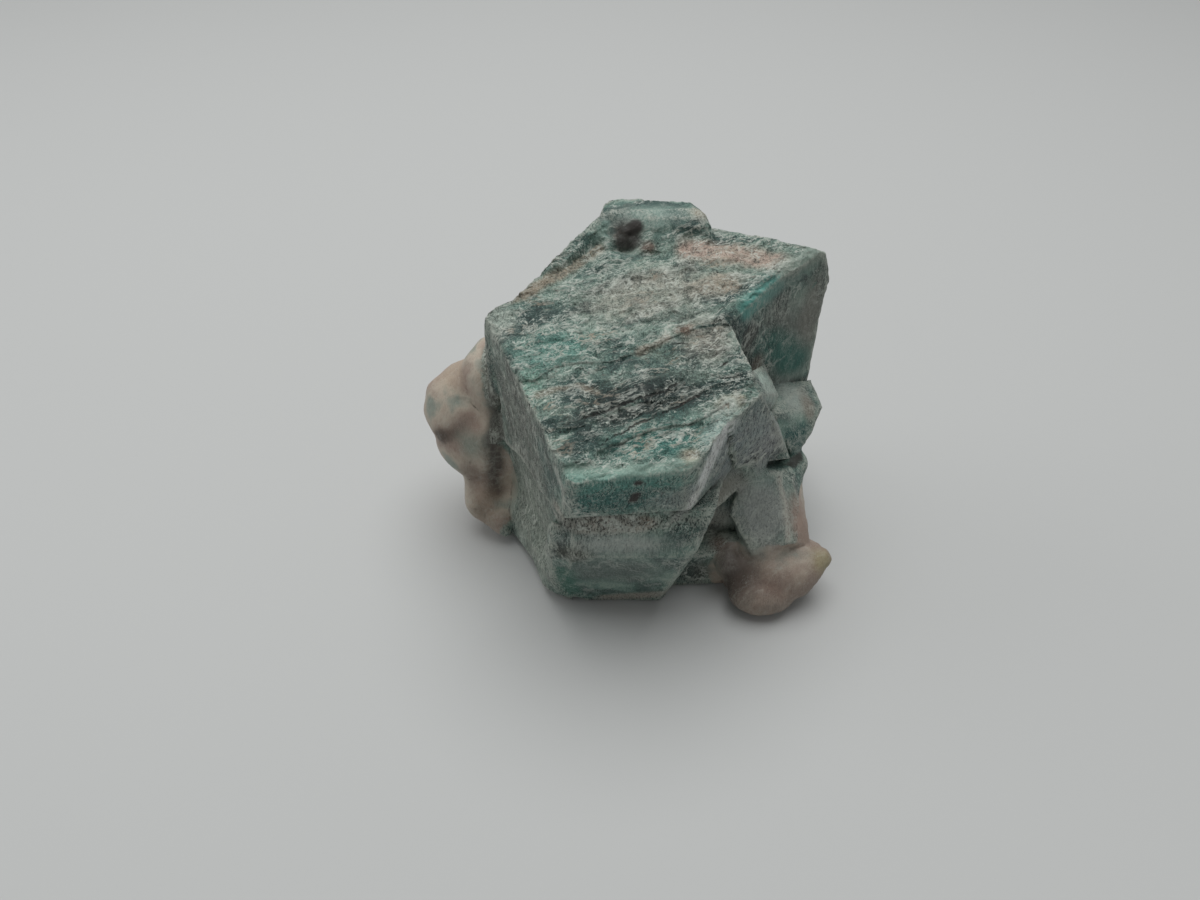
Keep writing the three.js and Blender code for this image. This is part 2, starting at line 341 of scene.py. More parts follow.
# Lumps of brown feldspar: middle and reach in mm.
lumpZones = {
    "leftShoulder": ((-18.3, 4.7, 17.5), (6.8, 6.6, 9.5)),
    "leftInner": ((-15.6, 1, 14.5), (1.9, 2.8, 5.5)),
    "leftFoot": ((-16.8, 1.8, 7.5), (6.0, 6.5, 10.0)),
    "rightFoot": ((16.6, -10.5, 2.6), (7.8, 6.4, 6.2)),
    "rightInner": ((12, -9.6, 3.6), (3.0, 3.2, 4.2)),
    "rightFlank": ((20.6, -6.0, 6.0), (3.2, 5.0, 7.5)),
    "backMass": ((2.0, 8.5, 8.5), (19, 11, 15)),
    "leftBack": ((-13.5, 8.0, 10.0), (8, 8, 11)),
}

# Places that more than one table uses.
frontEdge = [(-5.4, -15.7, 25.5), (-1, -16, 25.2), (3, -15.6, 25.3), (5.6, -15, 25.5)]
frontSpeck = [(0.6, -15.5, 21.9), (0.3, -15.2, 20.9)]
frontSpeckHigh = (0.7, -16, 24.1)
pit = dict(at=(-0.2, 7.6, 35.2), size=(2, 2.8, 2.1), amount=0.85)

# Patches of another colour, some of them painted shade or painted light. A patch is round an at or along a
# path, with a size of one reach or of three: along the grain, across it and up. looks keeps it to faces that
# look that way.
stains = {
    "topBack": dict(at=(2, 1.4, 32.8), size=(10, 4.2, 4), colour="b8b5a7", amount=0.75, looks=topFacing),
    "topRight": dict(at=(7.4, -3.6, 31), size=(3.6, 4, 3), colour="aaa598", amount=0.75, looks=topFacing),
    "topTeal": dict(at=(-7.2, -4.8, 30.4), size=(5.5, 3.2, 3), colour="66a093", amount=0.75, looks=topFacing),
    "topMiddle": dict(at=(1.6, -7, 29.2), size=(7, 2, 3), colour="4f6a64", amount=0.55, looks=topFacing),
    "topDark": dict(at=(0.4, -9.9, 28.2), size=(9, 3, 3), colour="1a2f2c", amount=0.95, looks=topFacing),
    "topFront": dict(at=(2.6, -13, 26.5), size=(6.5, 2.6, 3), colour="3a7b71", amount=0.9, looks=topFacing),
    "topCorner": dict(at=(-12.6, -1.6, 31.4), size=2.6, colour="b4beb3", amount=0.8),
    "mintCorner": dict(at=(-9, -8.2, 29), size=(1.8, 2.4, 2), colour="86ad9c", amount=0.85),
    # The worn front edge, painted paler as a highlight along it.
    "frontEdgeHighlight": dict(path=frontEdge, size=1.2, colour="93ad9f", amount=0.75),
    "beigeVein": dict(path=[(-8.4, -9.1, 28.6), (-6.8, -8.5, 28.8), (-5, -8.1, 28.9), (-3.1, -8.6, 28.7)],
                      size=0.45, colour="a89c8a", amount=0.7),
    "beigeLip": dict(path=[(0.8, -4.9, 30.2), (2.1, -4.3, 30.6), (3.7, -3.5, 30.9)], size=0.5,
                     colour="a99c8b", amount=0.8),
    "brownChip": dict(at=(5.2, -2.6, 31.2), size=(1.4, 0.7, 0.8), colour="84705f", amount=0.95),
    "beigeEnd": dict(at=(9.3, -9.4, 28), size=(1.8, 1.0, 1.2), colour="b09c83", amount=0.9),
    "beigeFront": dict(at=(5.4, -14.2, 26), size=(1.3, 0.9, 1), colour="a3957f", amount=0.8),
    "pinkBand": dict(path=[(6, 6.3, 34.5), (10, 6, 34.4), (13, 5.3, 34.1), (15, 4.9, 34)], size=1.7,
                     colour="cbb1a1", amount=0.85),
    "pinkLow": dict(at=(8.9, 2.5, 33.1), size=(3.4, 1.5, 1.5), colour="b5a998", amount=0.7),
    "rimRust": dict(path=[(-10.9, 1, 32.5), (-9.1, 1.8, 32.9), (-7.4, 2.9, 33.3), (-5.2, 4.5, 33.8),
                          (-2.9, 6.4, 34.5)], size=0.9, colour="a5947f", amount=0.85),
    "rimFront": dict(at=(-5, 6, 34.5), size=(5, 3, 3), colour="486b63", amount=0.8, looks=(305, 25)),
    "capFront": dict(at=(2, 8.6, 36.6), size=(5, 2.4, 2.5), colour="859e94", amount=0.8),
    "capDark": dict(at=(5.2, 9.1, 37.1), size=(1.8, 1, 1), colour="4b6a62", amount=0.7),
    "capBeige": dict(at=(7.4, 9.2, 37), size=(1.3, 1.2, 1.2), colour="9f907c", amount=0.9),
    "pitRust": dict(at=(2, 6.3, 34.8), size=(1.3, 0.9, 0.9), colour="6b5446", amount=0.9),
    "rightEdge": dict(path=[(11.6, 0.6, 31.4), (13.4, 2.0, 31.9), (14.8, 3.1, 32.2)], size=1.8,
                      colour="549c92", amount=0.95),
    "rightBevel": dict(path=[(15.6, 4.2, 33.6), (17.5, 5.6, 33.9), (19.3, 7, 34.2)], size=1.5,
                       colour="7f9085", amount=0.9),
    "leftFace": dict(at=(-10.6, -7.6, 22), size=(6, 10, 14), looks=leftFacing, colour="6d6c64", amount=0.8),
    "leftTeal": dict(path=[(-8, -11.2, 24), (-7, -13, 20), (-6.6, -14, 17.4)], size=1.6, colour="3f675f",
                     amount=0.7),
    "leftLine": dict(path=[(-13.5, -0.7, 15.4), (-10.8, -5.8, 17.4), (-8, -10.8, 16.2), (-6.9, -13, 15.8)],
                     size=0.4, colour="c6c8bf", amount=0.85),
    "leftPale": dict(path=[(-6.7, -14.5, 24.3), (-6.1, -15.7, 22.9), (-5.9, -15.9, 21.8),
                           (-5.9, -15.8, 19.7)], size=0.8, colour="c9cdc4", amount=0.75),
    "leftWedge": dict(at=(-6.8, -14, 17.8), size=(1.2, 1.6, 2), colour="b5ada0", amount=0.8),
    "rightFace": dict(at=(11, -8, 21), size=(7, 8, 9), looks=rightFacing, colour="8b9597", amount=0.85),
    "rightWing": dict(at=(14, -4.4, 19.4), size=(4, 4, 4.5), colour="979b9b", amount=0.9),
    "rightPale": dict(path=[(6.5, -13.6, 20.5), (7.2, -12.9, 22.7), (7.8, -12.4, 24.4), (8.6, -11.4, 26.4)],
                      size=2, looks=rightFacing, colour="f2f6f4", amount=1.0),
    "topEdgePale": dict(path=[(6.6, -13.4, 25), (8.4, -11.4, 27.2), (9.2, -9.8, 27.9)], size=1.2,
                        looks=topFacing, colour="b9cfc6", amount=0.75),
    "frontFace": dict(at=(-1.4, -16, 21.4), size=(8, 4, 4.6), looks=frontFacing, colour="19665e", amount=1.0),
    "frontHigh": dict(path=[(-5.2, -16.2, 24.2), (0, -16.1, 23.9), (4.5, -15.5, 23.9)], size=1.4,
                      colour="4f9184", amount=0.8),
    "frontRight": dict(at=(4.6, -14.8, 20), size=(3.2, 3, 2.4), looks=frontFacing, colour="7c8986",
                       amount=0.85),
    "frontCurl": dict(path=[(6.4, -13.6, 20.4), (6.1, -13.5, 18.8), (5.6, -13.4, 17.7), (4.4, -13.8, 17.3)],
                      size=0.75, colour="eef0ec", amount=1.0),
    "frontSpeck": dict(path=frontSpeck, size=0.6, colour="2a1513", amount=1.0),
    "frontSpeckHigh": dict(at=frontSpeckHigh, size=0.55, colour="3b2420", amount=1.0),
    # Pale grey, painted paler still as light on the strip in the shade under the front block's lower edge.
    "brow": dict(at=(-2, -14, 16.4), size=(8, 4, 1.2), colour="bfb9ad", amount=0.85),
    "browBrown": dict(at=(1.7, -14, 16.6), size=0.9, colour="6b5540", amount=0.9),
    "browEdge": dict(path=[(-5, -14, 15.4), (-1, -14, 15.6), (1.6, -14, 15.8), (2.3, -14, 16.6)], size=0.45,
                     colour="c9c2b2", amount=0.8),
    "browGrey": dict(at=(-1, -14.2, 14.2), size=(9, 4, 1.6), colour="b9c1bb", amount=0.85),
    "footFront": dict(at=(-1, -14, 9), size=(9, 5, 6), looks=(270, -18), colour="68746e", amount=0.8),
    "footTeal": dict(path=[(-6.6, -13.2, 8.6), (-6.3, -12.4, 5), (-5.8, -11.9, 2.8)], size=1.5,
                     colour="2a6556", amount=0.95),
    # Painted shade on the foot under the front block's lower edge.
    "footPaintedShade": dict(at=(-5.6, -14.3, 12.6), size=(2.6, 2.4, 1.8), colour="3c4035", amount=1.0),
    "footPatch": dict(at=(4.2, -13.8, 14.1), size=(1.8, 1.5, 1.6), colour="33584f", amount=0.85),
    "footHem": dict(path=[(-2, -11.3, 1.2), (4, -11.7, 2.2)], size=1.5, colour="a0968a", amount=0.85),
    "footLeft": dict(at=(-10.5, -6.4, 8), size=(8, 10, 10), looks=(207, 2), colour="8b9589", amount=0.9),
    "rearFace": dict(at=(16, 3.2, 25), size=(5, 5, 9), looks=rearFacing, colour="6b6e67", amount=0.9),
    # Painted shade in dark grey on the lower left of the rear face.
    "rearPaintedShade": dict(at=(12.2, 0.8, 27.6), size=(1.6, 2, 2.6), colour="474943", amount=0.95,
                      looks=rearFacing),
    "rightBlock": dict(at=(19.5, 6.4, 26), size=(2.4, 4.5, 9), looks=(323, 0), colour="77776e", amount=0.9),
    "rearTeal": dict(path=[(14.4, 2.9, 25.2), (16.4, 4.4, 23.4), (18.4, 5.7, 20.8)], size=2.6, looks=(308, 0),
                     colour="1d6257", amount=1.0),
    "notchFloor": dict(at=(13.6, 2, 23.2), size=(1.4, 2, 1.6), colour="75685a", amount=0.95),
    # Pale green, painted paler as light on a facet that lies in shade.
    "paleFacet": dict(path=[(12.6, -5, 26.4), (14.4, -1, 22.6), (15.8, 0.6, 20.6)], size=2, colour="c2d8cc",
                      amount=0.9),
    "paleLine": dict(path=[(14.2, 1.2, 24.1), (16.1, 0.6, 20.4)], size=0.4, colour="c4cfc8", amount=0.9),
    "tipTop": dict(at=(18.6, 2.6, 18.4), size=(4, 4, 1.8), colour="a6b1a9", amount=0.9),
    "tipBeige": dict(at=(20.2, 2.4, 17), size=(1.4, 3, 2), colour="8f8a7e", amount=0.9),
    "tipFront": dict(at=(18.3, -1, 15), size=(3.8, 3, 2.7), colour="064f4a", amount=1.0),
    "tipRust": dict(at=(15.7, -1.6, 18.8), size=0.6, colour="6b5040", amount=0.9),
    # Grey, painted paler as light under the right block's overhang.
    "underRight": dict(path=[(8.6, -9.8, 15.8), (11.2, -7.7, 14.7)], size=2.4, colour="85857a", amount=0.95),
    # Painted light on the wall of the shaded hollow.
    "hollowWallPaintedLight": dict(at=(9.6, -6.4, 8.4), size=(3, 3, 3), colour="aeaca4", amount=0.9),
    "hollowLedge": dict(at=(10.4, -8.4, 6.8), size=(1.8, 1.6, 0.8), colour="8e7d72", amount=0.9),
    # Dark teal, darkened further as painted shade deep in the hollow.
    "hollowFloor": dict(at=(7.6, -9, 3), size=(2.6, 2, 3.4), colour="26403b", amount=0.95),
    "lowerFacet": dict(at=(14.4, -8, 11.4), size=(4.4, 4, 6.4), colour="8e938f", amount=0.95),
    # Light teal, with a painted highlight on the bump below the slab.
    "slabBump": dict(at=(13.4, -9.9, 7.9), size=1.2, colour="93a49b", amount=0.8),
    "pinkFacet": dict(at=(18.6, -7.2, 9), size=(2.4, 3, 5.4), colour="a08c7f", amount=0.95),
    "slabEdge": dict(path=[(15.9, -6.2, 14.8), (16.7, -7.4, 12.4), (17, -8.8, 10.6), (17.2, -9.8, 8.9)],
                     size=0.35, colour="b0a99f", amount=0.8),
    "lowLumps": dict(at=(16, -11, 3), size=(9, 7, 6), colour="7a675c", amount=0.85),
    "lowShade": dict(at=(12.2, -11, 3.6), size=(2.8, 2.6, 4.4), colour="4d423b", amount=0.9),
    "ballShade": dict(at=(11, -9.9, 6), size=1.8, colour="5d5650", amount=0.9),
    "tipYellow": dict(at=(21.3, -10, 6), size=1.8, colour="9a9070", amount=0.9),
    "lumpTop": dict(at=(-18.9, 4.2, 21), size=(4, 4, 2.6), colour="b5a591", amount=0.8),
    "lumpPale": dict(path=[(-19.4, 1.4, 16.4), (-17.8, 1.4, 17.6), (-16.2, 1.6, 18.6)], size=0.8,
                     colour="a79a8a", amount=0.8),
    "lumpBrown": dict(path=[(-20.2, 0.8, 14.4), (-18.4, 0.8, 15.4), (-16.7, 1.2, 17)], size=1.5,
                      colour="4d3f34", amount=0.95),
    "lumpGreen": dict(at=(-16.6, -0.4, 14.4), size=(2.2, 2.2, 2.4), colour="848d81", amount=0.85),
    # Painted shade low on the front of the left lumps.
    "lumpPaintedShade": dict(at=(-17.2, -0.6, 10), size=(2, 2.2, 3), colour="7b6c60", amount=0.8),
    "lumpCleft": dict(path=[(-14.3, -0.7, 15.6), (-14.3, -1, 11.6), (-14.5, -1.4, 8)], size=1.5,
                      colour="39322c", amount=0.9),
    # Painted shade in dark grey where the lumps meet the left face.
    "leftPaintedShade": dict(path=[(-14, 2.9, 24.6), (-14.1, 1.2, 23.3), (-13.9, 0, 20.3), (-13.8, -0.7, 16.6)],
                     size=1.4, colour="5b5a52", amount=0.95),
    "lumpRed": dict(at=(-15.8, -1.4, 5.6), size=(2.4, 2.4, 3.6), colour="85705f", amount=0.85),
    # Painted shade, a neutral dark round the pit.
    "pitPaintedShade": dict(pit, colour="3f3e39"),
}

# Dark places, and how deep each goes as a share of the hole depth. In the pit and the crevice under the tip
# the dark is painted shade; on the front face the specks are dark.
darks = {
    # The pit and its core: painted shade, laid in the dark coat.
    "pit": dict(pit, hole=0.17),
    "pitCore": dict(path=[(0.8, 7.8, 36.2), (0, 7.8, 35.4), (-0.4, 7.8, 34.8)], size=1.1, amount=1, hole=0),
    "frontSpeck": dict(path=frontSpeck, size=0.36, amount=2, hole=0),
    "frontSpeckHigh": dict(at=frontSpeckHigh, size=0.34, amount=2, hole=0),
    # Painted shade in the crevice under the tip.
    "tipCrevice": dict(path=[(17.6, -2.6, 12.6), (18.8, -1.6, 13.1), (20.2, -0.8, 13.6)], size=0.9,
                       amount=0.9, hole=0),
}

# Cracks in the top face: points from left to right in mm, and how open they are.
cracks = {
    "upper": dict(path=[(-7.3, -12.3), (-5.8, -11.9), (-3.8, -11.2), (-1.1, -10.2), (1.6, -9.2), (4.2, -8.2),
                        (6.4, -6.2)], open=0.6),
    "lower": dict(path=[(-3.8, -14.4), (-1.8, -13.1), (0.2, -11.9), (2.6, -10.8), (5.2, -9.5), (7.0, -8.5)],
                  open=0.85),
    "corner": dict(path=[(9.3, -5.4), (8.2, -6.5), (7.9, -7.2)], open=1.0),
    "cornerLow": dict(path=[(7.6, -6.9), (8.6, -7.2), (10.5, -7.1)], open=1.0),
    "lip": dict(path=[(0.6, -5.2), (2.1, -4.7), (3.7, -3.9), (5.9, -3.7)], open=0.6),
}
crackReach = 9.0  # mm from a crack that count as near it
crackLimit = 2  # mm, the largest distance that is written down
crackTaper = (1, 0.8)  # where a crack opens, from its end towards its middle

# Places where the stone is rougher than elsewhere.
rugged = {
    "brow": dict(path=[(-6, -14, 16.4), (0, -14, 16.4), (6, -13.8, 16.4)], size=1.0),
    "rightBreak": dict(path=[(12, -6.6, 18), (14.2, -4.7, 17.9), (17.2, -3.2, 15.7)], size=1.0),
    "notch": dict(at=(10.6, -6.6, 28.4), size=1.6),
    "hollow": dict(at=(9, -7, 7), size=4),
}

# Places where the fine grain hardly shows.
calmZones = {
    "pit": dict(at=(-0.2, 7.5, 35.3), size=3),
    # along the painted highlight on the front edge
    "frontEdgeHighlight": dict(path=frontEdge, size=0.8),
    "band": dict(at=(2, -14.3, 13.2), size=(9, 3.4, 2.6)),
    "underRight": dict(at=(9.4, -8.8, 15.6), size=3.6),
    "rightEdge": dict(path=[(11.6, 0.6, 31.4), (14.6, 3.1, 32.2), (19.6, 7.2, 34)], size=1.6),
    "cap": dict(at=(2.5, 9.5, 36.8), size=(7, 3.4, 3)),
    "slab": dict(at=(14.6, -8, 11.4), size=(5, 5, 7)),
    "tip": dict(at=(18.8, 0.4, 16), size=(6, 6, 5)),
    "foot": dict(at=(-1, -13.6, 7.4), size=(11, 5, 8)),
    "hollow": dict(at=(9.4, -8, 7), size=(4, 4, 6)),
    "rightBlock": dict(at=(18.6, 5.4, 24), size=(4, 5, 9)),
    "leftInner": dict(path=[(-14, 2.9, 24.6), (-13.9, 0, 20.3), (-14, -0.8, 14)], size=1.8),
}

# Places where dark grains outweigh the pale ones.
dimZones = {
    "topDark": dict(at=(0.6, -9.7, 28.3), size=(9.5, 2.8, 3), amount=1),
    "topMiddle": dict(at=(1, -6.6, 29.4), size=(9, 2.4, 3), amount=0.5),
}

# Where each kind of place fades out, as shares of its reach.
fades = {
    "lumps": (0.85, 1.05),
    "stains": (0.3, 1.3),
    "darks": (0.4, 1.2),
    "dim": (0.4, 1.2),
    "calm": (0.6, 1.1),
    "rugged": (0.5, 1),
    "looks": (0.6, 0.85),  # cosines between a face and the way that a stain looks
    "ground": (0, 0.5),  # mm above the floor, for the relief
}
lumpShares = {"crevice": 0.8, "calm": 0.7}  # how far the brown lumps lose their crevices and are calm

# What counts as a worn edge, a crevice or the wider band where fibres show along an edge: how many mm a place
# stands out from its surroundings, averaged over so many rounds.
wearing = {
    "near": 14,
    "far": 50,
    "edge": (0.03, 0.13),
    "crevice": (-0.03, -0.14),
    "band": (0.05, 0.3),
}

# The white albite streaks lie in upright sheets, so they cross the top face as lines and run up the sides.
grain = {
    "turn": 17,  # degrees from +X
    "wander": 0.8,  # mm, how far they bend
    "wanderSize": 4,  # mm from one bend to the next
    "veins": (2.6, 0.75, 0.05),  # length and width in mm, and how sharp
    "threads": (1.3, 0.36, 0.06),
}


# From the frame's axes to along the grain, across it and up.
def toGrain(where):
    turn = math.radians(grain["turn"])
    along = where[..., 0] * math.cos(turn) + where[..., 1] * math.sin(turn)
    across = where[..., 1] * math.cos(turn) - where[..., 0] * math.sin(turn)
    return np.stack([along, across, where[..., 2]], -1)


# How far each place is from a path, less than 0 on its right side, and how far along it the nearest point is.
def pathDistance(where, path):
    nearest, side, along = (np.full(len(where), value) for value in (np.inf, 1.0, 0.0))
    for i, (start, end) in enumerate(zip(path[:-1], path[1:])):
        start, step = np.array(start, float), np.array(end, float) - np.array(start, float)
        t = ((where - start) @ step / (step @ step)).clip(0, 1)
        off = where - start - t[:, None] * step
        away = np.linalg.norm(off, axis=1)
        closer = away < nearest
        nearest = np.where(closer, away, nearest)
        side = np.where(closer, np.sign(step[0] * off[:, 1] - step[1] * off[:, 0]), side)
        along = np.where(closer, (i + t) / (len(path) - 1), along)
    return nearest, side, along


# 0 in the middle of a patch and 1 at its reach.
def patchDistance(where, patch):
    if "path" in patch:
        return pathDistance(where, patch["path"])[0] / patch["size"]
    return np.linalg.norm(toGrain(where - np.array(patch["at"])) / patch["size"], axis=1)


# How strongly each place lies in any of some patches.
def strongest(where, patches, fade, key="amount"):
    return np.max([
        patch.get(key, 1) * (1 - smoothStep(*fade, patchDistance(where, patch))) for patch in patches.values()
    ], axis=0)


def lumpShare(where):
    reaches = [np.linalg.norm((where - at) / size, axis=1) for at, size in lumpZones.values()]
    return 1 - smoothStep(*fades["lumps"], np.min(reaches, axis=0))


# The stains' colour and cover, each laid over the ones before it.
def stainCover(where, out):
    stain = np.zeros((len(where), 4))
    for patch in stains.values():
        amount = patch["amount"] * (1 - smoothStep(*fades["stains"], patchDistance(where, patch)))
        if "looks" in patch:
            amount *= smoothStep(*fades["looks"], out @ facing(*patch["looks"]))
        total = amount + stain[:, 3] * (1 - amount)
        share = (amount / total.clip(1e-6))[:, None]  # never divides by nothing
        stain[:, :3] = share * np.array(linear(patch["colour"])[:3]) + (1 - share) * stain[:, :3]
        stain[:, 3] = total
    return stain


# The distance to the nearest crack, less than 0 on its right side, and how open it is there.
def nearestCrack(where):
    crackAway, crackOpen = np.full(len(where), crackReach), np.zeros(len(where))
    for crack in cracks.values():
        away, side, along = pathDistance(where[:, :2], crack["path"])
        opening = crack["open"] * smoothStep(*crackTaper, np.abs(2 * along - 1))
        closer = away < np.abs(crackAway)
        crackAway = np.where(closer, away * side, crackAway)
        crackOpen = np.where(closer, opening, crackOpen)
    return crackAway.clip(-crackLimit, crackLimit), crackOpen


def worn(data, edges):
    where, out = places(data), normals(data)
    near = spread(where, edges, wearing["near"])
    bulge = ((where - near) * out).sum(1)
    band = ((where - spread(near, edges, wearing["far"])) * out).sum(1)
    return [smoothStep(*wearing[name], height) for name, height in (
        ("edge", bulge), ("crevice", bulge), ("band", band),
    )]


# Writes everything that the relief and the material read onto the stone.
def mark(stone):
    data = stone.data
    where, out, edges = places(data), normals(data), neighbours(data)
    top = facing(*topFacing)
    depth = where @ top - topFace["distance"]
    onTop = (out @ top > topFace["markLean"]) & (depth > -topFace["depth"]) & (depth < topFace["rise"])
    lumpy = lumpShare(where)
    crackAway, crackOpen = nearestCrack(where)
    edgeWear, crevice, edgeBand = worn(data, edges)
    for name, values in {
        "grain": toGrain(where),
        "topFace": spread(onTop * 1.0, edges, topFace["blur"]),
        "lumpy": lumpy,
        "edgeWear": edgeWear,
        "crevice": crevice * (1 - lumpShares["crevice"] * lumpy),
        "edgeBand": edgeBand,
        "ground": smoothStep(*fades["ground"], where[:, 2]),
        "crackAway": crackAway,
        "crackOpen": crackOpen * onTop,
        "rugged": strongest(where, rugged, fades["rugged"]),
        "dark": strongest(where, darks, fades["darks"]),
        "hole": strongest(where, darks, fades["darks"], "hole"),
        "dim": strongest(where, dimZones, fades["dim"]) * onTop,
        "calm": np.maximum(strongest(where, calmZones, fades["calm"]), lumpShares["calm"] * lumpy),
        "stain": stainCover(where, out),
    }.items():
        storeValues(data, name, values)


# A shift that wanders from place to place, by up to 0.5 each way.
def wandering(tree, place, repeatsPerMm, detail, roughness):
    shift = addNode(tree, "ShaderNodeTexNoise", {
        "Vector": place, "Scale": repeatsPerMm, "Detail": detail, "Roughness": roughness,
    }, take="Color")
    return addNode(tree, "ShaderNodeVectorMath", {0: shift, 1: (noiseMiddle,) * 3}, operation="SUBTRACT")


# The place along, across and up, bent a little so that no streak is straight.
def bentPlace(tree, grainPlace):
    bend = wandering(tree, grainPlace, 1 / grain["wanderSize"], 6.0, 0.65)
    bend = addNode(tree, "ShaderNodeVectorMath", {0: bend, "Scale": 2 * grain["wander"]}, operation="SCALE")
    return addNode(tree, "ShaderNodeVectorMath", {0: grainPlace, 1: bend}, operation="ADD")


# Thin pale lines, 1 along the middle of each: "veins" are the long ones and "threads" the short ones.
def streaks(tree, bent, name):
    length, width, sharpness = grain[name]
    place = addNode(tree, "ShaderNodeVectorMath", {0: bent, 1: perMm(length, width, length)},
                    operation="MULTIPLY")
    wave = addNode(tree, "ShaderNodeTexNoise", {
        "Vector": place, "Scale": 1.0, "Detail": 3.0, "Roughness": 0.6,
    })
    off = addNode(tree, "ShaderNodeMath", {0: wave, 1: noiseMiddle}, operation="SUBTRACT")
    off = addNode(tree, "ShaderNodeMath", {0: off}, operation="ABSOLUTE")
    return addNode(tree, "ShaderNodeMapRange", {
        "Value": off, "From Min": 0.0, "From Max": sharpness, "To Min": 1.0, "To Max": 0.0,
    })


# How high and deep the relief goes, in mm but for the count.
relief = {
    "Vein height": 0.05,
    "Ledge height": 0.2,
    "Ledge count": 8.0,
    "Lump height": 0.22,
    "Pebble height": 0.09,
    "Grit height": 0.09,
    "Chip depth": 0.12,
    "Crack depth": 0.12,
    "Hole depth": 0.7,
    "Rough height": 0.5,
    "Stray": 0.7,
}

# Size in mm and detail of the brown lumps, the broken skin between them and the grit.
reliefShapes = {"lump": (2.8, 2.0), "pebble": (0.9, 4.0), "grit": (0.45, 2.0)}
ledgesPerMm = (0.12, 0.42, 0.3)  # along the grain, across it and up
straysPerMm = 0.6
crackWobble = 0.7  # mm


